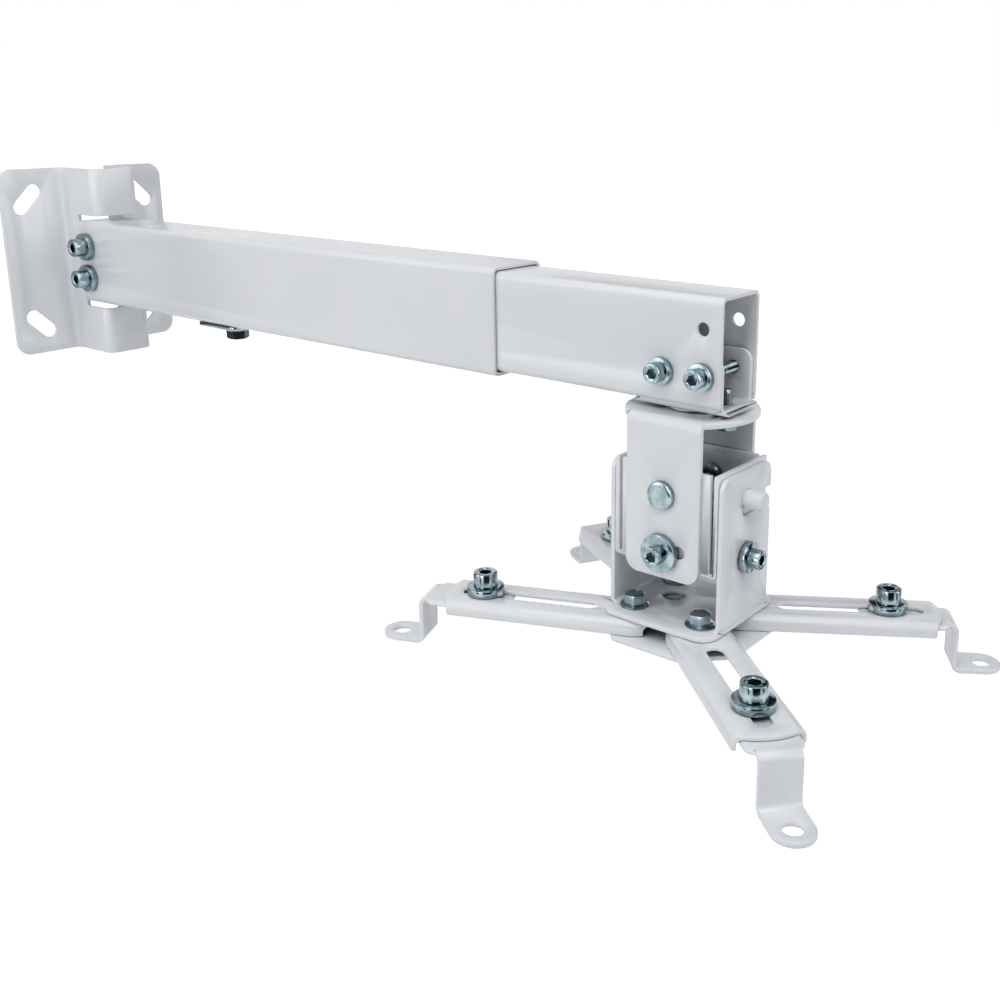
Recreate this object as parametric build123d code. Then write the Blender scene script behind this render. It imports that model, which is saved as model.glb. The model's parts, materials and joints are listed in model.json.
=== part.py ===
from build123d import *
import math
import os

# Projector mount, shown as it hangs on a wall: plate at the left, arm level, head under its free end.
# The origin is the middle of the wall plate's back face. +X points out of the wall, +Z is up.
os.makedirs("parts", exist_ok=True)

# Tubes
outer_width = 40.0
outer_height = 60.0
outer_length = 412.4
inner_length = 415.0
tube_wall = 2.0
tube_corner = 4.0
tube_play = 0.5
inner_width = outer_width - 2 * (tube_wall + tube_play)
inner_height = outer_height - 2 * (tube_wall + tube_play)

# Wall plate and its raised hat section
plate_width = 130.0
plate_height = 136.0
plate_sheet = 2.5
plate_corner = 10.0
hat_depth = 47.0
hat_bend = 6.2
hat_play = 0.3
slit_start = 21.0
slit_play = 1.2
slit_rise = 4.0
tube_setback = 1.0
anchor_reach_y = 45.0
anchor_reach_z = 46.0
anchor_width = 11.0
anchor_length = 26.0
anchor_angle = 45.0

# Screw rows in the tubes
row_pitch = 23.0
plate_row_x = 33.0
end_row_setback = 10.5

# Extension: where the inner tube stands now and how far it slides each way
inner_start = 160.0
slide_in = 88.0
slide_out = 80.0
slide_spare = 1.0
lock_setback = 20.0
strip_length = 40.0
strip_width = 36.0
strip_thickness = 2.4
lock_washer_outer = 16.0
lock_washer_thickness = 1.6
lock_head_height = 6.0
lock_block_length = 30.0
lock_block_width = 24.0
lock_block_height = 8.0
notch_length = 53.0

# Socket screws, nuts and washers
m8 = 8.0
m8_head = 13.0
m8_head_height = 8.0
m8_socket = 6.0
m8_nut_height = 6.8
m8_washer = 20.0
m8_washer_thickness = 2.0
m8_spring = 13.4
m8_spring_thickness = 2.0
m6 = 6.0
m6_head = 10.0
m6_head_height = 6.0
m6_socket = 5.0
m6_nut = 10.0
m6_nut_height = 5.0
m6_washer = 14.0
m6_washer_thickness = 1.6
m6_spring = 10.8
m6_spring_thickness = 1.6
weld_nut = 9.0
weld_bevel = 0.8
socket_share = 0.6
tip_out = 1.5

# Clearances
hole_play = 0.4
pivot_play = 0.05
turn_gap = 0.3
seat_gap = 0.1

# Swivel bracket in the end of the inner tube
bracket_sheet = 3.0
bracket_length = 53.0
bracket_overhang = 2.0
bracket_ear_inset = 3.0
bracket_ear_top = -2.0
bracket_bend = 2.5
bracket_corner = 6.0
bracket_play = 0.3
bracket_tip = 11.0

# Swivel
head_setback = 26.0
swivel_pin_diameter = 8.0
swivel_pin_head = 14.0
swivel_pin_head_height = 3.0
swivel_pin_edge = 1.0
spacer_outer = 24.0
spacer_thickness = 1.2
swivel_arc = 19.5
swivel_limit = 45.0
swivel_bolt_rise = 7.5
swivel_head_height = 4.0

# Yoke
yoke_sheet = 2.5
yoke_width = 53.0
yoke_side = 43.0
yoke_end_radius = 34.0
yoke_height = 83.0
yoke_bend = 3.5
yoke_corner = 7.5

# Tilt pivots and locks
tilt_drop = 39.4
rivet_diameter = 8.0
rivet_head = 15.0
rivet_head_height = 2.8
rivet_tail = 10.0
rivet_edge = 0.9
tilt_arc = 30.0
tilt_out = 20.0
tilt_in = 13.0
tilt_washer = 20.0

# Tilt box
box_sheet = 2.5
box_length = 60.4
box_play = 0.3
box_above_pivot = 14.0
box_height = 53.7
box_bend = 3.3
box_slit = 1.8

# Roll rod and locks
rod_diameter = 10.0
rod_length = 86.0
rod_drop = 2.0
roll_arc = 30.5
roll_limit = 8.0
roll_washer = 16.0

# Hook bracket
hook_sheet = 2.5
hook_gap = 0.4
hook_side = 47.0
hook_above_rod = 14.5
hook_below_rod = 66.5
hook_bend = 3.5
hook_corner = 6.0
hook_lift = 4.4
hook_lip = 3.0
base_depth = 68.0
base_corner = 9.0
base_hole = 12.5
base_hole_x = -10.5
base_hole_y = 3.0

# Legs
leg_pitch = 40.0
leg_angles = [202.4, -40.7, 31.8, 150.5]
foot_setbacks = [21.0, 25.0, 27.0, 25.0]
arm_width = 34.0
arm_sheet = 2.0
arm_depth = 7.5
arm_bend = 4.0
arm_reach = 103.0
arm_bulge = 5.0
arm_slot_near = 24.0
arm_slot_setback = 13.0
plate_half = 40.0
plate_cut = 20.0
leg_plate_sheet = 2.5
leg_flange = 15.5
leg_flange_thickness = 1.6
leg_head_height = 5.0

# Feet
foot_sheet = 2.5
foot_width = 20.0
foot_slider_width = 27.0
foot_slider_corner = 4.5
foot_slider_edge = 1.4
foot_tail = 14.0
foot_shoulder = 30.0
foot_reach = 35.0
foot_eye_reach = 49.5
foot_eye = 9.5
foot_bottom = -170.0
foot_bend = 3.5

# Places worked out from the sizes above
outer_start = slit_start + tube_setback
inner_end = inner_start + inner_length
lock_x = inner_start + lock_setback
head_x = inner_end - head_setback
hat_half = outer_width / 2 - tube_wall - hat_play
bracket_half = inner_width / 2 - tube_wall - bracket_play
bracket_top = -inner_height / 2 - seat_gap
bracket_bottom = bracket_top - bracket_sheet
yoke_top = bracket_bottom - spacer_thickness - turn_gap
tilt_z = yoke_top - tilt_drop
rod_z = tilt_z - rod_drop
box_half_x = box_length / 2
box_half_y = yoke_width / 2 - yoke_sheet - box_play
box_top = tilt_z + box_above_pivot
box_bottom = box_top - box_height
hook_half = box_half_x + hook_gap + hook_sheet
base_bottom = rod_z - hook_below_rod
base_top = base_bottom + hook_sheet
arm_top = base_bottom - turn_gap
leg_plate_top = arm_top - arm_depth - turn_gap
leg_plate_bottom = leg_plate_top - leg_plate_sheet
foot_top = arm_top - arm_sheet - turn_gap
leg_signs = [(-1, -1), (1, -1), (1, 1), (-1, 1)]

LOW = (Align.CENTER, Align.CENTER, Align.MIN)
HIGH = (Align.CENTER, Align.CENTER, Align.MAX)


def save(name, *solids):
    """Writes one sub-part, a single solid or a group of like solids."""
    shape = solids[0] if len(solids) == 1 else Compound(children=list(solids))
    export_step(shape, f"parts/{name}.step")


def facing(x, y, z, direction):
    """A place whose local +Z looks along the given direction."""
    return Plane(origin=(x, y, z), z_dir=direction)


def rounded_bar(width, height, corner, start, end):
    """A bar along X with rounded long edges."""
    section = Plane.YZ.offset(start) * RectangleRounded(width, height, corner)
    return extrude(section, amount=end - start)


def rectangular_tube(width, height, start, end):
    outside = rounded_bar(width, height, tube_corner, start, end)
    inside = rounded_bar(width - 2 * tube_wall, height - 2 * tube_wall, tube_corner - tube_wall, start, end)
    return outside - inside


def folded(points, bend, sheet):
    """The section of a folded sheet, from the middle line of the sheet."""
    return trace(FilletPolyline(*points, radius=bend), line_width=sheet)


def ring(outer, inner, height):
    return Cylinder(outer / 2, height, align=LOW) - Cylinder(inner / 2, height, align=LOW)


def hexagon(across, height):
    return extrude(RegularPolygon(across / 2, 6, major_radius=False), amount=height)


def socket_screw(size, head, head_height, socket, length):
    """A socket screw that stands on its head's underside, with the shank below."""
    top = Cylinder(head / 2, head_height, align=LOW)
    top = chamfer(top.edges().sort_by(Axis.Z)[-1], head_height * 0.08)
    depth = head_height * socket_share
    recess = Pos(0, 0, head_height - depth) * hexagon(socket, depth)
    return top - recess + Cylinder(size / 2, length, align=HIGH)


def nut(size, across, height):
    return hexagon(across, height) - Cylinder(size / 2 + pivot_play, height, align=LOW)


def round_nut(size):
    """A round weld nut that meets the wall with its top face."""
    body = Cylinder(weld_nut / 2, m6_nut_height, align=LOW)
    body = chamfer(body.edges().sort_by(Axis.Z)[-1], weld_bevel)
    return body - Cylinder(size / 2 + pivot_play, m6_nut_height, align=LOW)


def arc_slot(radius, middle, spread_low, spread_high, width):
    """A slot along an arc about the local origin, with angles in degrees."""
    arc = CenterArc((0, 0), radius, middle - spread_low, spread_low + spread_high)
    return SlotArc(arc, width)


# Wall plate: one sheet with a hat section down its middle
def make_wall_plate():
    middle = plate_sheet / 2
    flank = hat_half - middle
    crown = hat_depth - middle
    edge = plate_width / 2
    path = [(middle, -edge), (middle, -flank), (crown, -flank),
            (crown, flank), (middle, flank), (middle, edge)]
    plate = extrude(folded(path, hat_bend, plate_sheet), amount=plate_height / 2, both=True)
    corners = [e for e in plate.edges().filter_by(Axis.X) if abs(e.center().Y) > edge - 1]
    plate = fillet(corners, plate_corner)
    # The slits take the tube's top and bottom walls
    slit_low = outer_height / 2 - tube_wall - slit_play
    slit_high = outer_height / 2 + slit_rise
    slit_length = hat_depth - slit_start + 1
    for side in (1, -1):
        centre = side * (slit_low + slit_high) / 2
        slit = Box(slit_length, 2 * hat_half + 1, slit_high - slit_low)
        plate -= Pos(slit_start + slit_length / 2, 0, centre) * slit
    for y_sign, z_sign in leg_signs:
        slot = SlotOverall(anchor_length, anchor_width, rotation=-y_sign * z_sign * anchor_angle)
        place = Plane.YZ * Pos(y_sign * anchor_reach_y, z_sign * anchor_reach_z)
        plate -= extrude(place * slot, amount=plate_sheet)
    for z in (row_pitch / 2, -row_pitch / 2):
        drill = Cylinder(m8 / 2 + hole_play, plate_width)
        plate -= facing(plate_row_x, 0, z, (0, 1, 0)) * drill
    return plate


# Outer tube: pushed over the hat, with the lock slot in its underside
def make_outer_tube():
    tube = rectangular_tube(outer_width, outer_height, outer_start, outer_start + outer_length)
    for z in (row_pitch / 2, -row_pitch / 2):
        tube -= facing(plate_row_x, 0, z, (0, 1, 0)) * Cylinder(m8 / 2 + hole_play, 2 * outer_width)
    travel = slide_in + slide_out + 2 * slide_spare
    slot_middle = lock_x + (slide_out - slide_in) / 2
    slot = SlotCenterToCenter(travel, m8 + 2 * hole_play)
    place = Plane.XY.offset(-outer_height / 2 - 1) * Pos(slot_middle, 0)
    return tube - extrude(place * slot, amount=tube_wall + 2)


# Inner tube: bracket holes both sides, the lock hole, and the notch for the bracket's base
def end_row_places():
    near = inner_end - end_row_setback
    far = near - row_pitch
    return [(far, -row_pitch / 2), (near, -row_pitch / 2), (near, row_pitch / 2)]


def make_inner_tube():
    tube = rectangular_tube(inner_width, inner_height, inner_start, inner_end)
    for x, z in end_row_places():
        tube -= facing(x, 0, z, (0, 1, 0)) * Cylinder(m6 / 2 + hole_play, 2 * inner_width)
    lock_hole = Cylinder(m8 / 2 + hole_play, 3 * tube_wall)
    tube -= Pos(lock_x, 0, -inner_height / 2) * lock_hole
    notch_width = 2 * (bracket_half + bracket_play / 2)
    notch = Box(notch_length, notch_width, 3 * tube_wall, align=(Align.MAX, Align.CENTER, Align.CENTER))
    return tube - Pos(inner_end, 0, -inner_height / 2) * notch


# Screws through the plate's flanks and the outer tube
def make_plate_fasteners():
    screws, washers, nuts = [], [], []
    face = outer_width / 2
    seat = hat_half - plate_sheet
    spring_seat = face + m8_washer_thickness
    head_seat = spring_seat + m8_spring_thickness
    length = head_seat - seat + m8_nut_height + tip_out
    for side in (-1, 1):
        for z in (row_pitch / 2, -row_pitch / 2):
            out = (0, side, 0)
            washer_place = facing(plate_row_x, side * face, z, out)
            spring_place = facing(plate_row_x, side * spring_seat, z, out)
            head_place = facing(plate_row_x, side * head_seat, z, out)
            nut_place = facing(plate_row_x, side * (seat - m8_nut_height), z, out)
            screws.append(head_place * socket_screw(m8, m8_head, m8_head_height, m8_socket, length))
            washers.append(washer_place * ring(m8_washer, m8 + hole_play, m8_washer_thickness))
            washers.append(spring_place * ring(m8_spring, m8 + hole_play, m8_spring_thickness))
            nuts.append(nut_place * nut(m8, m8_head, m8_nut_height))
    save("plate_screws", *screws)
    save("plate_washers", *washers)
    save("plate_nuts", *nuts)


# Extension lock: a hex bolt that travels with the inner tube along the outer tube's slot
def make_extension_lock():
    strip_top = -outer_height / 2 - turn_gap
    strip_bottom = strip_top - strip_thickness
    spring_top = strip_bottom - lock_washer_thickness
    head_top = spring_top - m8_spring_thickness
    block_bottom = -inner_height / 2 + tube_wall
    block_top = block_bottom + lock_block_height
    strip = Box(strip_length, strip_width, strip_thickness, align=HIGH)
    strip = fillet(strip.edges().filter_by(Axis.Z), 4)
    strip = Pos(lock_x, 0, strip_top) * (strip - Cylinder(m8 / 2 + hole_play, 3 * strip_thickness))
    washer = Pos(lock_x, 0, spring_top) * ring(lock_washer_outer, m8 + hole_play, lock_washer_thickness)
    spring = Pos(lock_x, 0, head_top) * ring(m8_spring, m8 + hole_play, m8_spring_thickness)
    head = Pos(lock_x, 0, head_top - lock_head_height) * hexagon(m8_head, lock_head_height)
    head = chamfer(head.faces().sort_by(Axis.Z)[0].edges(), 0.7)
    shank_length = block_top + tip_out - head_top
    bolt = head + Pos(lock_x, 0, head_top) * Cylinder(m8 / 2, shank_length, align=LOW)
    block = Box(lock_block_length, lock_block_width, lock_block_height, align=LOW)
    block -= Cylinder(m8 / 2 + pivot_play, lock_block_height, align=LOW)
    block = Pos(lock_x, 0, block_bottom) * block
    save("lock_strip", strip)
    save("lock_washers", washer, spring)
    save("lock_bolt", bolt)
    save("lock_nut", block)


# Swivel bracket: U with its base under the tube and its ears inside it
def make_swivel_bracket():
    middle = bracket_sheet / 2
    side = bracket_half - middle
    base = bracket_bottom + middle
    start = inner_end + bracket_overhang - bracket_length
    path = [(-side, bracket_ear_top), (-side, base), (side, base), (side, bracket_ear_top)]
    section = Plane.YZ.offset(start) * folded(path, bracket_bend, bracket_sheet)
    bracket = extrude(section, amount=bracket_length)
    # The ears are shorter than the base
    ear_height = bracket_ear_top - bracket_top
    for x in (start, start + bracket_length):
        cut = Box(2 * bracket_ear_inset, inner_width, ear_height, align=LOW)
        bracket -= Pos(x, 0, bracket_top) * cut
    ear_tips = [e for e in bracket.edges().filter_by(Axis.Y) if e.center().Z > bracket_ear_top - 0.1]
    bracket = fillet(ear_tips, bracket_corner)
    for x, z in end_row_places()[:2]:
        bracket -= facing(x, 0, z, (0, 1, 0)) * Cylinder(m6 / 2 + pivot_play, inner_width)
    for x, size in ((head_x, swivel_pin_diameter), (head_x + swivel_arc, m6)):
        drill = Cylinder(size / 2 + pivot_play, 3 * bracket_sheet)
        bracket -= Pos(x, 0, bracket_bottom) * drill
    return bracket


# Screws into the bracket's threaded ears
def make_bracket_fasteners():
    screws, washers = [], []
    face = inner_width / 2
    spring_seat = face + m6_washer_thickness
    head_seat = spring_seat + m6_spring_thickness
    length = head_seat - bracket_half + bracket_sheet + bracket_tip
    for side in (-1, 1):
        for x, z in end_row_places()[:2]:
            out = (0, side, 0)
            head_place = facing(x, side * head_seat, z, out)
            spring_place = facing(x, side * spring_seat, z, out)
            screws.append(head_place * socket_screw(m6, m6_head, m6_head_height, m6_socket, length))
            washer_place = facing(x, side * face, z, out)
            washers.append(washer_place * ring(m6_washer, m6 + hole_play, m6_washer_thickness))
            washers.append(spring_place * ring(m6_spring, m6 + hole_play, m6_spring_thickness))
    save("bracket_screws", *screws)
    save("bracket_washers", *washers)


# Swivel: centre pin, spacer ring and the black bolt in the yoke's arc slot
def make_swivel():
    yoke_under = yoke_top - yoke_sheet
    pin_low = yoke_under - turn_gap
    pin = Cylinder(swivel_pin_diameter / 2, bracket_top - pin_low, align=LOW)
    cap = Cylinder(swivel_pin_head / 2, swivel_pin_head_height, align=LOW)
    cap = chamfer(cap.edges().sort_by(Axis.Z)[-1], swivel_pin_edge)
    foot = Cylinder(swivel_pin_head / 2, swivel_pin_head_height, align=HIGH)
    pin = Pos(head_x, 0, pin_low) * (pin + foot) + Pos(head_x, 0, bracket_top) * cap
    spacer = ring(spacer_outer, swivel_pin_diameter + 2 * pivot_play, spacer_thickness)
    washer_low = pin_low - m6_washer_thickness
    bolt_x = head_x + swivel_arc
    washer = Pos(bolt_x, 0, washer_low) * ring(m6_washer, m6 + hole_play, m6_washer_thickness)
    head = Pos(bolt_x, 0, washer_low - swivel_head_height) * hexagon(m6_nut, swivel_head_height)
    rise = bracket_top + swivel_bolt_rise - washer_low
    bolt = head + Pos(bolt_x, 0, washer_low) * Cylinder(m6 / 2, rise, align=LOW)
    save("swivel_pin", pin)
    save("swivel_spacer", Pos(head_x, 0, bracket_bottom - spacer_thickness) * spacer)
    save("swivel_washer", washer)
    save("swivel_bolt", bolt)


# Yoke: inverted U whose flat top plate runs on past its sides, rounded about the swivel axis
def make_yoke():
    middle = yoke_sheet / 2
    side = yoke_width / 2 - middle
    top = yoke_top - middle
    bottom = yoke_top - yoke_height
    path = [(-side, bottom), (-side, top), (side, top), (side, bottom)]
    section = Plane.YZ.offset(head_x - yoke_side / 2) * folded(path, yoke_bend, yoke_sheet)
    yoke = extrude(section, amount=yoke_side)
    corners = [e for e in yoke.edges().filter_by(Axis.Y) if e.center().Z < bottom + 1]
    yoke = fillet(corners, yoke_corner)
    rounded_ends = Cylinder(yoke_end_radius, yoke_sheet, align=HIGH)
    rounded_ends -= Box(yoke_side, 2 * yoke_end_radius, 3 * yoke_sheet)
    yoke += Pos(head_x, 0, yoke_top) * rounded_ends
    swivel_place = Plane.XY.offset(yoke_top - 2 * yoke_sheet) * Pos(head_x, 0)
    slot = arc_slot(swivel_arc, 0, swivel_limit, swivel_limit, m6 + 2 * hole_play)
    yoke -= extrude(swivel_place * slot, amount=3 * yoke_sheet)
    yoke -= Pos(head_x, 0, yoke_top) * Cylinder(swivel_pin_diameter / 2 + pivot_play, 3 * yoke_sheet)
    yoke -= facing(head_x, 0, tilt_z, (0, 1, 0)) * Cylinder(rivet_diameter / 2 + pivot_play, 2 * yoke_width)
    tilt_place = Plane(origin=(head_x, 0, tilt_z), x_dir=(1, 0, 0), z_dir=(0, -1, 0))
    tilt_slot = arc_slot(tilt_arc, -90, tilt_in, tilt_out, m6 + 2 * hole_play)
    return yoke - extrude(tilt_place * tilt_slot, amount=yoke_width, both=True)


# Tilt box: an open pan folded from one sheet, slit at its four upright corners
def make_tilt_box():
    outside = Box(box_length, 2 * box_half_y, box_height, align=LOW)
    outside = fillet(outside.faces().sort_by(Axis.Z)[0].edges(), box_bend)
    inside = Box(box_length - 2 * box_sheet, 2 * (box_half_y - box_sheet), box_height, align=LOW)
    inside = fillet(inside.faces().sort_by(Axis.Z)[0].edges(), box_bend - box_sheet)
    pan = outside - Pos(0, 0, box_sheet) * inside
    slit = Box(box_slit, box_sheet + 1, box_height, align=LOW)
    for x_sign in (-1, 1):
        for y_sign in (-1, 1):
            x = x_sign * (box_half_x - box_sheet - box_slit / 2)
            y = y_sign * (box_half_y - box_sheet / 2)
            pan -= Pos(x, y, box_bend) * slit
    pan = Pos(head_x, 0, box_bottom) * pan
    across = 2 * yoke_width
    pan -= facing(head_x, 0, tilt_z, (0, 1, 0)) * Cylinder(rivet_diameter / 2 + pivot_play, across)
    pan -= facing(head_x, 0, tilt_z - tilt_arc, (0, 1, 0)) * Cylinder(m6 / 2 + hole_play, across)
    pan -= facing(head_x, 0, rod_z, (1, 0, 0)) * Cylinder(rod_diameter / 2 + pivot_play, across)
    return pan - facing(head_x, 0, rod_z - roll_arc, (1, 0, 0)) * Cylinder(m6 / 2 + hole_play, across)


def make_tilt_rivets():
    outside = yoke_width / 2
    inside = box_half_y - box_sheet - turn_gap
    rivets = []
    for side in (-1, 1):
        head = Cylinder(rivet_head / 2, rivet_head_height, align=LOW)
        head = chamfer(head.edges().sort_by(Axis.Z)[-1], rivet_edge)
        tail = Cylinder(rivet_tail / 2, rivet_head_height, align=HIGH)
        tail = chamfer(tail.edges().sort_by(Axis.Z)[0], rivet_edge)
        shank = Cylinder(rivet_diameter / 2, outside - inside, align=HIGH)
        rivet = head + shank + Pos(0, 0, inside - outside) * tail
        rivets.append(facing(head_x, side * outside, tilt_z, (0, side, 0)) * rivet)
    save("tilt_rivets", *rivets)


def make_lock_set(prefix, outer_face, inner_face, washer, places):
    """Locking screws, washers and round weld nuts, for a slotted plate and the box wall behind it."""
    screws, washers, nuts = [], [], []
    seat = outer_face + turn_gap
    spring_seat = seat + m6_washer_thickness
    head_seat = spring_seat + m6_spring_thickness
    length = head_seat - inner_face + m6_nut_height + tip_out
    for point, out in places:
        middle = Plane(origin=point, z_dir=out)
        washers.append(middle.offset(seat) * ring(washer, m6 + hole_play, m6_washer_thickness))
        washers.append(middle.offset(spring_seat) * ring(m6_spring, m6 + hole_play, m6_spring_thickness))
        screw = socket_screw(m6, m6_head, m6_head_height, m6_socket, length)
        screws.append(middle.offset(head_seat) * screw)
        nut_place = middle.offset(inner_face - m6_nut_height)
        nuts.append(nut_place * round_nut(m6))
    save(f"{prefix}_screws", *screws)
    save(f"{prefix}_washers", *washers)
    save(f"{prefix}_nuts", *nuts)


# Hook bracket: U whose two sides hang on the rod, on a wider base
def make_hook_bracket():
    middle = hook_sheet / 2
    side = hook_half - middle
    top = rod_z + hook_above_rod
    low = base_bottom + middle
    path = [(-side, top), (-side, low), (side, low), (side, top)]
    section = Plane.XZ * Pos(head_x, 0) * folded(path, hook_bend, hook_sheet)
    bracket = extrude(section, amount=hook_side / 2, both=True)
    tips = [e for e in bracket.edges().filter_by(Axis.X) if e.center().Z > top - 0.1]
    bracket = fillet(tips, hook_corner)
    base = RectangleRounded(2 * hook_half, base_depth, base_corner)
    bracket += Pos(head_x, 0, base_bottom) * extrude(base, amount=hook_sheet)
    # The rod goes in level through the open back edge, then up into the pocket that hangs on it
    mouth = rod_diameter + 2 * pivot_play
    entry = Box(4 * hook_half, hook_side, mouth, align=(Align.CENTER, Align.MIN, Align.CENTER))
    bracket -= Pos(head_x, 0, rod_z - hook_lift) * entry
    bracket -= Pos(head_x, 0, rod_z) * Box(4 * hook_half, mouth, hook_lift, align=HIGH)
    for z in (rod_z, rod_z - hook_lift):
        bracket -= facing(head_x, 0, z, (1, 0, 0)) * Cylinder(mouth / 2, 4 * hook_half)
    lip_z = rod_z - hook_lift - mouth / 2
    lips = [e for e in bracket.edges().filter_by(Axis.X)
            if abs(e.center().Z - lip_z) < 0.1 and e.center().Y > hook_side / 2 - 0.1]
    bracket = fillet(lips, hook_lip)
    roll_place = Plane(origin=(head_x, 0, rod_z), x_dir=(0, 1, 0), z_dir=(1, 0, 0))
    roll_slot = arc_slot(roll_arc, -90, roll_limit, roll_limit, m6 + 2 * hole_play)
    bracket -= extrude(roll_place * roll_slot, amount=2 * hook_half, both=True)
    for x_sign, y_sign in leg_signs:
        drill = Cylinder(m6 / 2 + pivot_play, 3 * hook_sheet)
        bracket -= Pos(head_x + x_sign * leg_pitch / 2, y_sign * leg_pitch / 2, base_bottom) * drill
    hole = Cylinder(base_hole / 2, 3 * hook_sheet)
    return bracket - Pos(head_x + base_hole_x, base_hole_y, base_bottom) * hole


def make_leg_plate():
    plate = Box(2 * plate_half, 2 * plate_half, leg_plate_sheet, align=HIGH)
    plate = chamfer(plate.edges().filter_by(Axis.Z), plate_cut)
    plate = fillet(plate.edges().filter_by(Axis.Z), 4)
    for x_sign, y_sign in leg_signs:
        drill = Cylinder(m6 / 2 + pivot_play, 3 * leg_plate_sheet)
        plate -= Pos(x_sign * leg_pitch / 2, y_sign * leg_pitch / 2) * drill
    return Pos(head_x, 0, leg_plate_top) * plate


def make_leg_bolts():
    length = base_top - leg_plate_bottom + m6_nut_height + tip_out
    bolts, nuts = [], []
    for x_sign, y_sign in leg_signs:
        flange = Cylinder(leg_flange / 2, leg_flange_thickness, align=LOW)
        head = Pos(0, 0, leg_flange_thickness) * hexagon(m6_nut, leg_head_height)
        bolt = flange + head + Cylinder(m6 / 2, length, align=HIGH)
        x = head_x + x_sign * leg_pitch / 2
        y = y_sign * leg_pitch / 2
        bolts.append(Pos(x, y, base_top) * bolt)
        nuts.append(Pos(x, y, leg_plate_bottom - m6_nut_height) * nut(m6, m6_nut, m6_nut_height))
    save("leg_bolts", *bolts)
    save("leg_nuts", *nuts)


# Leg arm: slotted channel along local X, turning about the local origin
def make_leg_arm():
    half = arm_width / 2
    middle = arm_sheet / 2
    path = [(middle - half, -arm_depth), (middle - half, -middle), (half - middle, -middle),
            (half - middle, -arm_depth)]
    section = Plane.YZ.offset(-half) * folded(path, arm_bend, arm_sheet)
    channel = extrude(section, amount=half + arm_reach)
    shoulder = arm_reach - arm_bulge
    outline = Line((0, -half), (shoulder, -half))
    outline += ThreePointArc((shoulder, -half), (arm_reach, 0), (shoulder, half))
    outline += Line((shoulder, half), (0, half))
    outline += ThreePointArc((0, half), (-half, 0), (0, -half))
    blank = extrude(make_face(outline), amount=-arm_depth)
    arm = channel & blank
    slot_far = arm_reach - arm_slot_setback
    slot = SlotCenterToCenter(slot_far - arm_slot_near, m8 + 2 * hole_play)
    slot = Pos((slot_far + arm_slot_near) / 2, 0, -arm_depth) * slot
    arm -= extrude(slot, amount=2 * arm_depth)
    return arm - Cylinder(m6 / 2 + pivot_play, 2 * arm_depth)


# Foot: wide slider inside the arm, then a narrower strip that steps down to the projector's screw eye
def make_foot():
    middle = foot_sheet / 2
    drop = foot_bottom - foot_top
    path = [(0, -middle), (foot_reach - middle, -middle), (foot_reach - middle, drop + middle),
            (foot_eye_reach + foot_width / 2, drop + middle)]
    strip = extrude(Plane.XZ * folded(path, foot_bend, foot_sheet), amount=foot_width / 2, both=True)
    outline = SlotCenterToCenter(foot_eye_reach, foot_width)
    strip &= extrude(Pos(foot_eye_reach / 2, 0, drop) * outline, amount=-drop)
    slider = RectangleRounded(foot_tail + foot_shoulder, foot_slider_width, foot_slider_corner)
    slider = extrude(Pos((foot_shoulder - foot_tail) / 2, 0, -foot_sheet) * slider, amount=foot_sheet)
    slider = chamfer(slider.faces().sort_by(Axis.Z)[-1].edges(), foot_slider_edge)
    foot = strip + slider
    foot -= Cylinder(m8 / 2 + hole_play, 3 * foot_sheet)
    return foot - Pos(foot_eye_reach, 0, drop) * Cylinder(foot_eye / 2, 3 * foot_sheet)


def make_legs():
    washer_low = arm_top + turn_gap
    spring_low = washer_low + m8_washer_thickness
    head_low = spring_low + m8_spring_thickness
    nut_low = foot_top - foot_sheet - m8_nut_height
    screw = socket_screw(m8, m8_head, m8_head_height, m8_socket, head_low - nut_low + tip_out)
    washer = ring(m8_washer, m8 + hole_play, m8_washer_thickness)
    spring = ring(m8_spring, m8 + hole_play, m8_spring_thickness)
    for number, (x_sign, y_sign) in enumerate(leg_signs, start=1):
        pivot = Pos(head_x + x_sign * leg_pitch / 2, y_sign * leg_pitch / 2, 0)
        turn = pivot * Rot(0, 0, leg_angles[number - 1])
        slide = turn * Pos(arm_reach - foot_setbacks[number - 1], 0, 0)
        save(f"leg_arm_{number}", turn * Pos(0, 0, arm_top) * make_leg_arm())
        save(f"foot_{number}", slide * Pos(0, 0, foot_top) * make_foot())
        save(f"foot_screw_{number}", slide * Pos(0, 0, head_low) * screw)
        washers = (slide * Pos(0, 0, washer_low) * washer, slide * Pos(0, 0, spring_low) * spring)
        save(f"foot_washer_{number}", *washers)
        save(f"foot_nut_{number}", slide * Pos(0, 0, nut_low) * nut(m8, m8_head, m8_nut_height))


save("wall_plate", make_wall_plate())
save("outer_tube", make_outer_tube())
make_plate_fasteners()

save("inner_tube", make_inner_tube())
make_extension_lock()
save("swivel_bracket", make_swivel_bracket())
make_bracket_fasteners()
make_swivel()

save("yoke", make_yoke())
make_tilt_rivets()

save("tilt_box", make_tilt_box())
tilt_lock_z = tilt_z - tilt_arc
tilt_places = [((head_x, 0, tilt_lock_z), (0, -1, 0)), ((head_x, 0, tilt_lock_z), (0, 1, 0))]
make_lock_set("tilt", yoke_width / 2, box_half_y - box_sheet, tilt_washer, tilt_places)
rod = Cylinder(rod_diameter / 2, rod_length)
rod = chamfer(rod.edges().filter_by(GeomType.CIRCLE), 0.8)
save("roll_rod", facing(head_x, 0, rod_z, (1, 0, 0)) * rod)
roll_lock_z = rod_z - roll_arc
roll_places = [((head_x, 0, roll_lock_z), (-1, 0, 0)), ((head_x, 0, roll_lock_z), (1, 0, 0))]
make_lock_set("roll", hook_half, box_half_x - box_sheet, roll_washer, roll_places)

save("hook_bracket", make_hook_bracket())
save("leg_plate", make_leg_plate())
make_leg_bolts()
make_legs()
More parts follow.
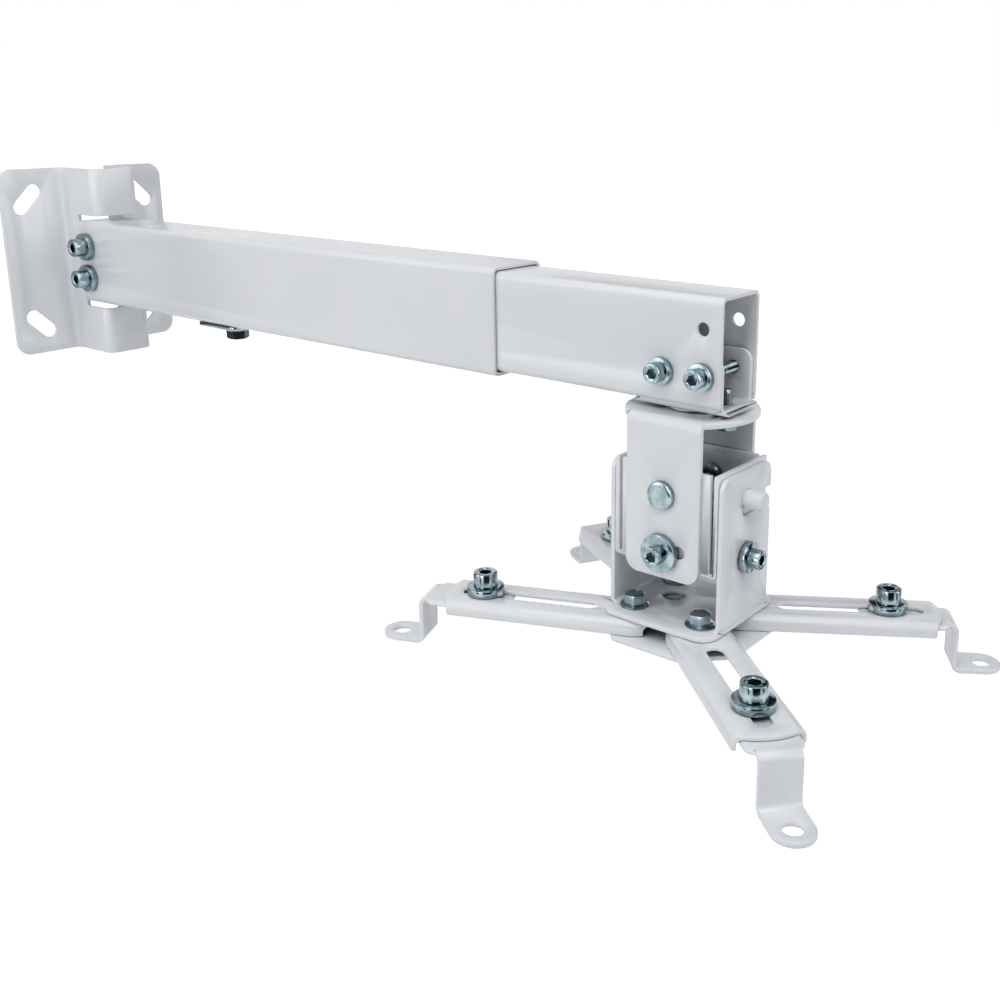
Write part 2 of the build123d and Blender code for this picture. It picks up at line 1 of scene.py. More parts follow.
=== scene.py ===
import bmesh
import bpy
import json
import math
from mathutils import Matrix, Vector


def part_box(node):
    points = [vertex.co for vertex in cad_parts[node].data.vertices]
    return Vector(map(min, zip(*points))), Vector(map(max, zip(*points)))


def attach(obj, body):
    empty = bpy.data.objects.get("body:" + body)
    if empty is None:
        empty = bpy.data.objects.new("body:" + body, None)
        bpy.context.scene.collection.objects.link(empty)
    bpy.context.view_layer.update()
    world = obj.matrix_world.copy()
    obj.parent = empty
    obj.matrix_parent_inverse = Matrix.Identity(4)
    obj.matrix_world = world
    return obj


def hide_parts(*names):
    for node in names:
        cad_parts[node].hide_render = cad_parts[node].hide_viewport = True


# Projector mount on its wall plate: painted sheet steel with zinc screws, in a plain white studio
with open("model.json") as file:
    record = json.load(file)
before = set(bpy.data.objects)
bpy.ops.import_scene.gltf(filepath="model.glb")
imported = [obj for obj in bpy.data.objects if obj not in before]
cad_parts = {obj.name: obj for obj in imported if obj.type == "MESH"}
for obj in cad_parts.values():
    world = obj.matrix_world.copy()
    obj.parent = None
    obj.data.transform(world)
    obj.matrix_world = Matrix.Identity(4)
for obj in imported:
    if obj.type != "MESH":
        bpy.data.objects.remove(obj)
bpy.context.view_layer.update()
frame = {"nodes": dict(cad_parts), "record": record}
nodes = frame["nodes"]
MM = 0.001

# Rounded edges: their width in mm, their steps, and the angle from which an edge is rounded. The yoke's are
# narrower, because its flat end meets the fold along a short edge
COAT_EDGE = 0.4
YOKE_EDGE = 0.2
STAMPED_EDGE = 0.3
COAT_STEPS = 2
SHARP = math.radians(38)

# Meshes: faces this level become one, edges this steep stay crisp, and points this close, in metres, are
# welded
LEVEL = math.radians(0.4)
CRISP = math.radians(30)
WELD = 1e-6
SLIVER = 1e-7

# Screws with their hexagon heads or nuts and their washers, in mm
M8 = {"head": 13.0, "head_height": 8.0, "socket": 6.0, "shank": 8.0, "pitch": 1.25,
      "hexagon": 13.0, "nut_bore": 8.1, "ring_bore": 8.4}
M6 = {"head": 10.0, "head_height": 6.0, "socket": 5.0, "shank": 6.0, "pitch": 1.0,
      "hexagon": 10.0, "nut_bore": 6.1, "ring_bore": 6.4}
RIVET = {"Head": 15.0, "Head Height": 2.8, "Shank": 8.0, "Tail": 10.0}
FLANGE = (15.5, 1.6)
ROUND_NUT = 9.0
SHANK_PLAY = 0.05
WASHER_EDGE = 0.25
SPRING_EDGE = 0.2

# Proportions: hexagon corner to width across flats, thread depth and rings to pitch, and socket depth to
# head height
HEX_CORNER = 0.578
THREAD_DEPTH = 0.61
THREAD_RINGS = 6.0
SOCKET_SHARE = 0.6

# Points round a turned piece and round a thread, and the spring washers' turn and the slant of their split
AROUND = 48
THREAD_AROUND = 24
SPLIT_SWEEP = math.radians(351)
SPLIT_LEAN = math.radians(14)

# Camera, from the photographed edges of the tubes and the plate
CAMERA_PLACE = (0.8479, -0.4788, 0.1159)
CAMERA_HEADING = 127.49
CAMERA_PITCH = -14.73
CAMERA_LENS = 41.81
CAMERA_SHIFT = (-0.0843, -0.0940)
CAMERA_SENSOR = 36.0

# Studio, in metres. The floor's glow rises with the distance from the origin. A dark card has a heading in
# degrees, a width, and the heights of its lower and upper edge
FLOOR_REACH = 30.0
FLOOR_LEVEL = -0.60
GLOW = {"From Min": 0.8, "From Max": 2.5, "To Min": 0.62, "To Max": 1.0}
ROOM_LIGHT = 0.20
CARD_RING = 1.8
CARDS = ((10, 0.5, -1.3, 0.6), (48, 0.5, -1.3, 1.0), (85, 0.5, 0.0, 1.5), (112, 0.9, 0.6, 1.7),
         (195, 0.8, -1.3, 0.3), (262, 0.4, -1.3, 0.5), (318, 1.8, -1.3, 0.6))


def linear(colour):
    """An sRGB hex colour as the linear colour that a shader takes."""
    parts = [int(colour[i:i + 2], 16) / 255 for i in (1, 3, 5)]
    return [c / 12.92 if c <= 0.04045 else ((c + 0.055) / 1.055) ** 2.4 for c in parts] + [1.0]


def add(tree, kind, inputs=None, **settings):
    """Adds one node with its settings; each input is a value or a socket to link."""
    node = tree.nodes.new(kind)
    for name, value in settings.items():
        setattr(node, name, value)
    for key, value in (inputs or {}).items():
        if isinstance(value, bpy.types.NodeSocket):
            tree.links.new(value, node.inputs[key])
        else:
            node.inputs[key].default_value = value
    return node


def calc(tree, operation, a, b=0.0):
    """One sum on two numbers, in a shader or a geometry tree."""
    return add(tree, "ShaderNodeMath", {0: a, 1: b}, operation=operation).outputs[0]


def times(tree, a, b):
    return calc(tree, "MULTIPLY", a, b)


def over(tree, a, b):
    return calc(tree, "DIVIDE", a, b)


def plus(tree, a, b):
    return calc(tree, "ADD", a, b)


def minus(tree, a, b):
    return calc(tree, "SUBTRACT", a, b)


def linked(name, data):
    """A new object in the scene."""
    obj = bpy.data.objects.new(name, data)
    bpy.context.scene.collection.objects.link(obj)
    return obj


def blank_material(name):
    material = bpy.data.materials.new(name)
    material.use_nodes = True
    tree = material.node_tree
    tree.nodes.clear()
    out = add(tree, "ShaderNodeOutputMaterial")
    return material, tree, out


def between(tree, factor, low, high):
    """A number that goes from low to high as the factor goes from 0.35 to 0.65."""
    inputs = {"Value": factor, "From Min": 0.35, "From Max": 0.65, "To Min": low, "To Max": high}
    return add(tree, "ShaderNodeMapRange", inputs).outputs["Result"]


def noise(tree, place, size, detail=2.0):
    """Noise whose patches are about the given size in mm."""
    inputs = {"Vector": place, "Scale": 1 / (size * MM), "Detail": detail}
    return add(tree, "ShaderNodeTexNoise", inputs).outputs[0]


def blend_colours(tree, factor, low, high):
    """From the low colour to the high one, each a hex colour or a socket."""
    low, high = (linear(colour) if isinstance(colour, str) else colour for colour in (low, high))
    inputs = {0: factor, 6: low, 7: high}
    return add(tree, "ShaderNodeMix", inputs, data_type="RGBA").outputs[2]


def bump(tree, height, depth, below=None):
    """Bump of the given depth in mm, laid over another bump where one is given."""
    inputs = {"Height": height, "Strength": 1.0, "Distance": depth * MM}
    if below is not None:
        inputs["Normal"] = below
    return add(tree, "ShaderNodeBump", inputs).outputs["Normal"]


def openness_for_painted_shade(tree, reach, low, high):
    """0 in the recesses and 1 in the open, looking as far as the reach in mm: the mask for painted shade in
    recesses.
    """
    near = add(tree, "ShaderNodeAmbientOcclusion", {"Distance": reach * MM}, samples=8).outputs["AO"]
    inputs = {"Value": near, "From Min": low, "From Max": high}
    return add(tree, "ShaderNodeMapRange", inputs).outputs["Result"]


def surface_with(tree, out, inputs):
    """Ends a material with its surface."""
    surface = add(tree, "ShaderNodeBsdfPrincipled", inputs)
    tree.links.new(surface.outputs[0], out.inputs["Surface"])


# Powder coat: a cool white film, glossy, with the ripple called orange peel. Deep inside the tubes and the
# head, and in other recesses, its colour is darkened to grey as painted shade
def white_powder_coat():
    material, tree, out = blank_material("white_powder_coat")
    place = add(tree, "ShaderNodeTexCoord").outputs["Object"]
    film = noise(tree, place, 60.0)
    colour = blend_colours(tree, between(tree, film, 0.0, 1.0), "#e4e6ea", "#e8eaed")
    # Painted shade: the colour goes to dark grey where the surface is enclosed within 60 mm
    colour = blend_colours(tree, openness_for_painted_shade(tree, 60.0, 0.0, 0.16), "#5c666b", colour)
    ripple = bump(tree, noise(tree, place, 2.2, 1.0), 0.0035)
    grain = bump(tree, noise(tree, place, 0.5, 1.0), 0.0008, ripple)
    rough = between(tree, noise(tree, place, 9.0), 0.20, 0.26)
    inputs = {"Base Color": colour, "Roughness": rough, "Normal": grain, "IOR": 1.5}
    surface_with(tree, out, inputs)
    return material


# Zinc plating: bright metal with a thin blue passivation that clouds over, darkened in the recesses as
# painted shade
def bright_zinc():
    material, tree, out = blank_material("bright_zinc")
    place = add(tree, "ShaderNodeTexCoord").outputs["Object"]
    cloud = noise(tree, place, 5.0, 3.0)
    colour = blend_colours(tree, between(tree, cloud, 0.0, 1.0), "#788c94", "#a3b2b7")
    # Painted shade: the colour goes to dark grey in recesses within 4 mm, such as the sockets
    colour = blend_colours(tree, openness_for_painted_shade(tree, 4.0, 0.2, 0.7), "#39474c", colour)
    rough = between(tree, noise(tree, place, 1.2, 3.0), 0.08, 0.17)
    skin = bump(tree, noise(tree, place, 0.35, 2.0), 0.0012)
    inputs = {"Base Color": colour, "Metallic": 1.0, "Roughness": rough, "Normal": skin}
    surface_with(tree, out, inputs)
    return material


# Black oxide: dark oiled steel
def black_oxide():
    material, tree, out = blank_material("black_oxide")
    place = add(tree, "ShaderNodeTexCoord").outputs["Object"]
    cloud = noise(tree, place, 3.0, 3.0)
    colour = blend_colours(tree, between(tree, cloud, 0.0, 1.0), "#1b1e22", "#2c3036")
    rough = between(tree, noise(tree, place, 0.8, 2.0), 0.22, 0.36)
    skin = bump(tree, noise(tree, place, 0.3, 2.0), 0.0015)
    inputs = {"Base Color": colour, "Metallic": 0.7, "Roughness": rough, "Normal": skin}
    surface_with(tree, out, inputs)
    return material


finishes = {"white_paint": white_powder_coat(), "zinc": bright_zinc(), "black_steel": black_oxide()}


def body_of(node):
    """The name of the body that carries a node."""
    for body, names in frame["record"]["behaviour"]["bodies"].items():
        if node in names:
            return body
    raise ValueError(node)


def as_piece(name, mesh, node, slot):
    """Puts a finished mesh in the scene in place of a CAD node."""
    piece = linked(name, mesh)
    mesh.materials.clear()
    mesh.materials.append(finishes[slot])
    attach(piece, body_of(node))
    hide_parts(node)
    return piece


def plain_mesh(host):
    """The host's mesh with its modifiers worked in."""
    graph = bpy.context.evaluated_depsgraph_get()
    return bpy.data.meshes.new_from_object(host.evaluated_get(graph), depsgraph=graph)


# Sheet and turned pieces: the CAD's own form with every edge rounded, as by a coat of paint
def soften(node, slot, suffix, edge):
    work = bmesh.new()
    work.from_mesh(nodes[node].data)
    bmesh.ops.remove_doubles(work, verts=work.verts, dist=WELD)
    bmesh.ops.dissolve_limit(work, angle_limit=LEVEL, verts=work.verts, edges=work.edges)
    bmesh.ops.triangulate(work, faces=[face for face in work.faces if len(face.verts) > 4])
    mesh = bpy.data.meshes.new(node + "_sheet")
    work.to_mesh(mesh)
    work.free()
    mesh.shade_smooth()
    host = linked(node + "_host", mesh)
    soft = host.modifiers.new("coat_edge", "BEVEL")
    soft.width = edge * MM
    soft.segments = COAT_STEPS
    soft.limit_method = "ANGLE"
    soft.angle_limit = SHARP
    soft.harden_normals = True
    soft.use_clamp_overlap = False
    soft.loop_slide = False
    finished = plain_mesh(host)
    finished.name = node + suffix
    bpy.data.objects.remove(host)
    return as_piece(node + suffix, finished, node, slot)


def tree_with(name, sizes):
    """A geometry tree with one length input for each size, and one for the finish."""
    tree = bpy.data.node_groups.new(name, "GeometryNodeTree")
    face = tree.interface
    face.new_socket("Geometry", in_out="INPUT", socket_type="NodeSocketGeometry")
    face.new_socket("Geometry", in_out="OUTPUT", socket_type="NodeSocketGeometry")
    for size in sizes:
        face.new_socket(size, in_out="INPUT", socket_type="NodeSocketFloat")
    face.new_socket("Turn Seed", in_out="INPUT", socket_type="NodeSocketInt")
    face.new_socket("Finish", in_out="INPUT", socket_type="NodeSocketMaterial")
    return tree, add(tree, "NodeGroupInput").outputs


def pick(tree, level, values):
    """The value for one level of a turned profile."""
    node = add(tree, "GeometryNodeIndexSwitch", data_type="FLOAT")
    for _ in values[2:]:
        node.index_switch_items.new()
    tree.links.new(level, node.inputs["Index"])
    for i, value in enumerate(values):
        socket = node.inputs[i + 1]
        if isinstance(value, bpy.types.NodeSocket):
            tree.links.new(value, socket)
        else:
            socket.default_value = value
    return node.outputs[0]


def turned(tree, profile, around=AROUND):
    """A turned body: rings of points at each (radius, height) of the profile, from its first to its last."""
    sides = {"Vertices": around, "Side Segments": len(profile) - 1}
    tube = add(tree, "GeometryNodeMeshCylinder", sides, fill_type="NONE").outputs["Mesh"]
    index = add(tree, "GeometryNodeInputIndex").outputs[0]
    level = calc(tree, "FLOOR", over(tree, index, around))
    angle = times(tree, calc(tree, "MODULO", index, around), 2 * math.pi / around)
    radius = pick(tree, level, [step[0] for step in profile])
    height = pick(tree, level, [step[1] for step in profile])
    across = times(tree, calc(tree, "COSINE", angle), radius)
    along = times(tree, calc(tree, "SINE", angle), radius)
    spot = add(tree, "ShaderNodeCombineXYZ", {0: across, 1: along, 2: height}).outputs[0]
    return add(tree, "GeometryNodeSetPosition", {"Geometry": tube, "Position": spot}).outputs[0]


def polar(tree):
    """Distance from the local Z axis and angle about it, for each point."""
    place = add(tree, "GeometryNodeInputPosition").outputs[0]
    x, y, z = add(tree, "ShaderNodeSeparateXYZ", {0: place}).outputs
    radius = calc(tree, "SQRT", plus(tree, times(tree, x, x), times(tree, y, y)))
    return x, y, z, radius, calc(tree, "ARCTAN2", y, x)


def scale_radius(tree, mesh, factor, where=True):
    """Moves points towards or away from the local Z axis."""
    x, y, z, _, _ = polar(tree)
    flat = {0: times(tree, x, factor), 1: times(tree, y, factor), 2: z}
    spot = add(tree, "ShaderNodeCombineXYZ", flat).outputs[0]
    inputs = {"Geometry": mesh, "Position": spot, "Selection": where}
    return add(tree, "GeometryNodeSetPosition", inputs).outputs[0]


def cut_to_hexagon(tree, mesh, across, where=True):
    """Presses whatever stands outside a hexagon, measured across its flats, back onto it."""
    _, _, _, radius, angle = polar(tree)
    sixth = math.pi / 3
    turn = minus(tree, calc(tree, "FLOORED_MODULO", angle, sixth), sixth / 2)
    wall = over(tree, over(tree, across, 2.0), calc(tree, "COSINE", turn))
    factor = calc(tree, "MINIMUM", 1.0, over(tree, wall, calc(tree, "MAXIMUM", radius, 1e-6)))
    return scale_radius(tree, mesh, factor, where)


def threaded_rod(tree, size, length, pitch):
    """A rod below the local origin with a rolled thread that runs out at its tip."""
    rings = calc(tree, "CEIL", times(tree, over(tree, length, pitch), THREAD_RINGS))
    sides = {"Vertices": THREAD_AROUND, "Side Segments": rings, "Radius": over(tree, size, 2.0),
             "Depth": length}
    rod = add(tree, "GeometryNodeMeshCylinder", sides, fill_type="TRIANGLE_FAN").outputs["Mesh"]
    down = add(tree, "ShaderNodeCombineXYZ", {2: over(tree, length, -2.0)}).outputs[0]
    rod = add(tree, "GeometryNodeTransform", {"Geometry": rod, "Translation": down}).outputs[0]
    _, _, z, _, angle = polar(tree)
    climb = minus(tree, over(tree, z, pitch), over(tree, angle, 2 * math.pi))
    wave = calc(tree, "ABSOLUTE", minus(tree, calc(tree, "FRACT", climb), 0.5))
    groove = times(tree, times(tree, wave, 2.0), times(tree, pitch, THREAD_DEPTH))
    to_tip = plus(tree, z, length)
    point = calc(tree, "MAXIMUM", minus(tree, pitch, to_tip), 0.0)
    shrink = over(tree, calc(tree, "MAXIMUM", groove, point), over(tree, size, 2.0))
    return scale_radius(tree, rod, minus(tree, 1.0, shrink))


def at_points(tree, sizes, parts):
    """Sets the parts at every point of the host, looking along its 'out', and ends the tree."""
    whole = add(tree, "GeometryNodeJoinGeometry")
    for part in parts:
        tree.links.new(part, whole.inputs[0])
    tidy = {"Geometry": whole.outputs[0], "Distance": WELD}
    made = add(tree, "GeometryNodeMergeByDistance", tidy).outputs[0]
    out = add(tree, "GeometryNodeInputNamedAttribute", {"Name": "out"}, data_type="FLOAT_VECTOR").outputs[0]
    look = add(tree, "FunctionNodeAlignRotationToVector", {"Vector": out}, axis="Z").outputs[0]
    chance = add(tree, "FunctionNodeRandomValue", {"Seed": sizes["Turn Seed"]}, data_type="FLOAT").outputs[1]
    live = calc(tree, "GREATER_THAN", sizes["Turn Seed"], 0.0)
    spin = times(tree, times(tree, chance, math.tau), live)
    about = add(tree, "ShaderNodeCombineXYZ", {2: spin}).outputs[0]
    about = add(tree, "FunctionNodeEulerToRotation", {0: about}).outputs[0]
    turn = add(tree, "FunctionNodeRotateRotation", {0: look, 1: about}, rotation_space="LOCAL").outputs[0]
    spread = {"Points": sizes["Geometry"], "Instance": made, "Rotation": turn}
    spread = add(tree, "GeometryNodeInstanceOnPoints", spread).outputs[0]
    real = add(tree, "GeometryNodeRealizeInstances", {"Geometry": spread}).outputs[0]
    done = add(tree, "GeometryNodeSetMaterial", {"Geometry": real, "Material": sizes["Finish"]}).outputs[0]
    add(tree, "NodeGroupOutput", {0: done})
    return tree


# Socket screw: turned head with a bevelled rim, a hexagon socket and a rolled thread
def socket_screw_tree():
    tree, sizes = tree_with("socket_screws", ["Head", "Head Height", "Socket", "Shank", "Length", "Pitch"])
    radius = over(tree, sizes["Head"], 2.0)
    high = sizes["Head Height"]
    bevel = times(tree, high, 0.09)
    rim = minus(tree, radius, bevel)
    under = minus(tree, radius, times(tree, bevel, 0.5))
    corner = times(tree, sizes["Socket"], 0.56)
    mouth = times(tree, sizes["Socket"], 0.64)
    lead = minus(tree, high, times(tree, bevel, 0.6))
    floor = times(tree, high, 1 - SOCKET_SHARE)
    profile = [(0.0, 0.0), (under, 0.0), (radius, times(tree, bevel, 0.5)),
               (radius, minus(tree, high, bevel)),
               (minus(tree, radius, times(tree, bevel, 0.3)),
                minus(tree, high, times(tree, bevel, 0.3))),
               (rim, high), (mouth, high), (corner, lead), (corner, floor), (0.0, floor)]
    head = turned(tree, profile)
    _, _, _, away, _ = polar(tree)
    inner = calc(tree, "LESS_THAN", away, times(tree, sizes["Socket"], 0.6))
    head = cut_to_hexagon(tree, head, sizes["Socket"], inner)
    rod = threaded_rod(tree, sizes["Shank"], sizes["Length"], sizes["Pitch"])
    return at_points(tree, sizes, [head, rod])


# Hexagon bolt: pressed head with a chamfered top, over a round flange where it has one
def hexagon_bolt_tree():
    tree, sizes = tree_with("hexagon_bolts", ["Across", "Head Height", "Flange", "Flange Height", "Shank",
                                              "Length", "Pitch"])
    corner = times(tree, sizes["Across"], HEX_CORNER)
    face = times(tree, sizes["Across"], 0.46)
    base = sizes["Flange Height"]
    top = plus(tree, base, sizes["Head Height"])
    slope = times(tree, minus(tree, corner, face), 0.55)
    steps = [0.0, 0.25, 0.5, 0.75, 1.0]
    profile = [(0.0, base), (corner, base)]
    for step in steps:
        drop = times(tree, slope, 1 - step)
        inward = times(tree, minus(tree, corner, face), step)
        profile.append((minus(tree, corner, inward), minus(tree, top, drop)))
    dish = minus(tree, top, times(tree, sizes["Head Height"], 0.06))
    profile += [(times(tree, face, 0.86), top), (times(tree, face, 0.78), dish), (0.0, dish)]
    head = cut_to_hexagon(tree, turned(tree, profile), sizes["Across"])
    wide = over(tree, sizes["Flange"], 2.0)
    lip = times(tree, base, 0.45)
    collar = turned(tree, [(0.0, 0.0), (wide, 0.0), (wide, lip), (times(tree, wide, 0.8), base),
                           (0.0, base)])
    rod = threaded_rod(tree, sizes["Shank"], sizes["Length"], sizes["Pitch"])
    return at_points(tree, sizes, [head, collar, rod])


# Hexagon nut: chamfered both sides round a threaded bore
def nut_tree():
    tree, sizes = tree_with("nuts", ["Across", "Height", "Bore", "Round"])
    corner = times(tree, sizes["Across"], HEX_CORNER)
    face = times(tree, sizes["Across"], 0.47)
    bore = over(tree, sizes["Bore"], 2.0)
    high = sizes["Height"]
    slope = times(tree, minus(tree, corner, face), 0.6)
    sunk = times(tree, sizes["Bore"], 0.05)
    mouth = plus(tree, bore, sunk)
    profile = [(mouth, 0.0), (face, 0.0), (corner, slope), (corner, minus(tree, high, slope)),
               (face, high), (mouth, high), (bore, minus(tree, high, sunk)), (bore, sunk), (mouth, 0.0)]
    body = turned(tree, profile)
    limit = plus(tree, sizes["Across"], sizes["Round"])
    return at_points(tree, sizes, [cut_to_hexagon(tree, body, limit)])


# Rivet: flat pressed head with a rolled rim, and a formed tail on the inside
def rivet_tree():
    tree, sizes = tree_with("rivets", ["Head", "Head Height", "Shank", "Grip", "Tail"])
    wide, high = over(tree, sizes["Head"], 2.0), sizes["Head Height"]
    shank = over(tree, sizes["Shank"], 2.0)
    tail = over(tree, sizes["Tail"], 2.0)
    low = times(tree, sizes["Grip"], -1.0)
    end = minus(tree, low, high)
    profile = [(0.0, end)]
    for share, drop in ((0.45, 0.0), (0.78, 0.12), (0.94, 0.38), (1.0, 0.75)):
        profile.append((times(tree, tail, share), plus(tree, end, times(tree, high, drop))))
    profile += [(tail, low), (shank, low), (shank, 0.0), (wide, 0.0)]
    for share, drop in ((1.0, 0.62), (0.985, 0.36), (0.94, 0.14), (0.86, 0.04), (0.6, 0.0), (0.0, 0.0)):
        profile.append((times(tree, wide, share), times(tree, high, 1 - drop)))
    return at_points(tree, sizes, [turned(tree, profile)])


# Washer: stamped ring, its punched edges rolled over a little
def washer_tree():
    tree, sizes = tree_with("washers", ["Outer", "Inner", "Height", "Edge"])
    outer = over(tree, sizes["Outer"], 2.0)
    inner = over(tree, sizes["Inner"], 2.0)
    edge, high = sizes["Edge"], sizes["Height"]
    part = times(tree, edge, 0.3)
    upper = minus(tree, high, edge)
    profile = [(inner, 0.0), (minus(tree, outer, edge), 0.0),
               (minus(tree, outer, part), part), (outer, edge), (outer, upper),
               (minus(tree, outer, part), minus(tree, high, part)),
               (minus(tree, outer, edge), high), (plus(tree, inner, part), high),
               (inner, minus(tree, high, part)), (inner, 0.0)]
    return at_points(tree, sizes, [turned(tree, profile)])


# Spring washer: a square wire wound once, with a slanting split
def spring_washer_tree():
    tree, sizes = tree_with("spring_washers", ["Outer", "Inner", "Height", "Edge"])
    middle = over(tree, plus(tree, sizes["Outer"], sizes["Inner"]), 4.0)
    wide = over(tree, minus(tree, sizes["Outer"], sizes["Inner"]), 2.0)
    round_path = {"Resolution": AROUND, "Radius": middle, "Sweep Angle": SPLIT_SWEEP}
    path = add(tree, "GeometryNodeCurveArc", round_path).outputs["Curve"]
    path = add(tree, "GeometryNodeSetCurveNormal", {"Curve": path}, mode="Z_UP").outputs[0]
    square = {"Width": wide, "Height": sizes["Height"]}
    wire = add(tree, "GeometryNodeCurvePrimitiveQuadrilateral", square).outputs[0]
    rounded = {"Curve": wire, "Radius": sizes["Edge"]}
    wire = add(tree, "GeometryNodeFilletCurve", rounded, mode="POLY").outputs[0]
    wound = {"Curve": path, "Profile Curve": wire, "Fill Caps": True}
    body = add(tree, "GeometryNodeCurveToMesh", wound).outputs[0]
    place = add(tree, "GeometryNodeInputPosition").outputs[0]
    height = add(tree, "ShaderNodeSeparateXYZ", {0: place}).outputs[2]
    lean = times(tree, over(tree, height, sizes["Height"]), SPLIT_LEAN)
    twist = {"Vector": place, "Angle": lean}
    leant = add(tree, "ShaderNodeVectorRotate", twist, rotation_type="Z_AXIS").outputs[0]
    up = add(tree, "ShaderNodeCombineXYZ", {2: over(tree, sizes["Height"], 2.0)}).outputs[0]
    moved = {"Geometry": body, "Position": leant, "Offset": up}
    body = add(tree, "GeometryNodeSetPosition", moved).outputs[0]
    return at_points(tree, sizes, [body])


trees = {"socket screw": socket_screw_tree(), "hexagon bolt": hexagon_bolt_tree(), "nut": nut_tree(),
         "rivet": rivet_tree(), "washer": washer_tree(), "spring washer": spring_washer_tree()}


def solids_in(node):
    """The lowest and highest corner of each separate solid in a CAD node."""
    work = bmesh.new()
    work.from_mesh(nodes[node].data)
    bmesh.ops.remove_doubles(work, verts=work.verts, dist=WELD)
    left = set(work.verts)
    boxes = []
    while left:
        front = [left.pop()]
        low, high = front[0].co.copy(), front[0].co.copy()
        while front:
            point = front.pop()
            low = Vector(map(min, low, point.co))
            high = Vector(map(max, high, point.co))
            for edge in point.link_edges:
                other = edge.other_vert(point)
                if other in left:
                    left.remove(other)
                    front.append(other)
        boxes.append((low, high))
    work.free()
    return sorted(boxes, key=lambda box: tuple(round(v, 5) for v in box[0]))


def set_on_points(name, tree_name, points, sizes, finish, seed=0):
    """A plain mesh of one tree's parts, one at each (place, out) point; sizes are in mm."""
    mesh = bpy.data.meshes.new(name + "_points")
    mesh.from_pydata([place for place, _ in points], [], [])
    out = mesh.attributes.new("out", "FLOAT_VECTOR", "POINT")
    for i, (_, direction) in enumerate(points):
        out.data[i].vector = direction
    host = linked(name + "_host", mesh)
    tree = trees[tree_name]
    maker = host.modifiers.new("maker", "NODES")
    maker.node_group = tree
    values = {key: size * MM for key, size in sizes.items()}
    values.update({"Turn Seed": seed, "Finish": finishes[finish]})
    for item in tree.interface.items_tree:
        if item.in_out == "INPUT" and item.name in values:
            maker[item.identifier] = values[item.name]
    made = plain_mesh(host)
    host.modifiers.remove(maker)
    bpy.data.objects.remove(host)
    work = bmesh.new()
    work.from_mesh(made)
    bmesh.ops.remove_doubles(work, verts=work.verts, dist=WELD)
    bmesh.ops.dissolve_degenerate(work, edges=work.edges, dist=SLIVER)
    bmesh.ops.recalc_face_normals(work, faces=work.faces)
    work.to_mesh(made)
    work.free()
    made.shade_smooth()
    made.set_sharp_from_angle(angle=CRISP)
    made.name = name
    return made


def along(node, direction, head_height):
    """For each solid of a node: the seat under its head, the way it looks and its length below the head."""
    seats = []
    for low, high in solids_in(node):
        middle = (low + high) / 2
        out = direction(middle)
        axis = max(range(3), key=lambda i: abs(out[i]))
        end = high[axis] if out[axis] > 0 else low[axis]
        seat = middle.copy()
        seat[axis] = end - out[axis] * head_height * MM
        seats.append((seat, out, (high[axis] - low[axis]) / MM - head_height))
    return seats


def out_y(middle):
    return Vector((0, 1, 0)) if middle.y > 0 else Vector((0, -1, 0))


def out_x(middle):
    head = sum((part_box("yoke")[i].x for i in (0, 1))) / 2
    return Vector((1, 0, 0)) if middle.x > head else Vector((-1, 0, 0))


def up_z(middle):
    return Vector((0, 0, 1))


def down_z(middle):
    return Vector((0, 0, -1))


def fit_screws(node, kind, direction, seed):
    """Socket screws in place of a CAD node."""
    seats = along(node, direction, kind["head_height"])
    sizes = {"Head": kind["head"], "Head Height": kind["head_height"], "Socket": kind["socket"],
             "Shank": kind["shank"] - SHANK_PLAY, "Length": seats[0][2], "Pitch": kind["pitch"]}
    mesh = set_on_points(node + "_cap", "socket screw", [s[:2] for s in seats], sizes, "zinc", seed)
    return as_piece(node + "_cap", mesh, node, "zinc")


def joined(name, meshes):
    """Several plain meshes as one."""
    work = bmesh.new()
    for mesh in meshes:
        work.from_mesh(mesh)
    whole = bpy.data.meshes.new(name)
    work.to_mesh(whole)
    work.free()
    return whole


def fit_rings(node, kind, direction, seed):
    """Flat washers, and the narrower spring washers on them, in place of a CAD node."""
    flat, split = [], []
    seats = along(node, direction, 0.0)
    axis = max(range(3), key=lambda i: abs(seats[0][1][i]))
    widths = [max(high[i] - low[i] for i in range(3) if i != axis) / MM for low, high in solids_in(node)]
    for (place, out, length), wide in zip(seats, widths):
        point = (place - out * length * MM, out)
        (flat if wide > 0.9 * max(widths) else split).append((point, wide, length))
    meshes = []
    for rings, form, edge, turn in ((flat, "washer", WASHER_EDGE, 0),
                                    (split, "spring washer", SPRING_EDGE, seed)):
        if rings:
            points = [ring[0] for ring in rings]
            sizes = {"Outer": rings[0][1], "Inner": kind["ring_bore"], "Height": rings[0][2], "Edge": edge}
            meshes.append(set_on_points(node + "_part", form, points, sizes, "zinc", turn))
    return as_piece(node + "_ring", joined(node + "_ring", meshes), node, "zinc")


def fit_nuts(node, kind, direction, round_nut=None):
    """Nuts in place of a CAD node: hexagonal, or round where a round nut's width is given."""
    seats = along(node, direction, 0.0)
    points = [(place - out * length * MM, out) for place, out, length in seats]
    across = round_nut or kind["hexagon"]
    sizes = {"Across": across, "Height": seats[0][2], "Bore": kind["nut_bore"],
             "Round": across * 0.2 if round_nut else 0.0}
    mesh = set_on_points(node + "_nut", "nut", points, sizes, "zinc")
    return as_piece(node + "_nut", mesh, node, "zinc")


def fit_bolts(node, kind, direction, head_height, finish, flange=(0.0, 0.0)):
    """Hexagon bolts in place of a CAD node; a flange has a width and a height."""
    flange, flange_height = flange
    seats = along(node, direction, head_height + flange_height)
    sizes = {"Across": kind["hexagon"], "Head Height": head_height,
             "Flange": flange, "Flange Height": flange_height,
             "Shank": kind["shank"] - SHANK_PLAY, "Length": seats[0][2], "Pitch": kind["pitch"]}
    mesh = set_on_points(node + "_hex", "hexagon bolt", [s[:2] for s in seats], sizes, finish)
    return as_piece(node + "_hex", mesh, node, finish)


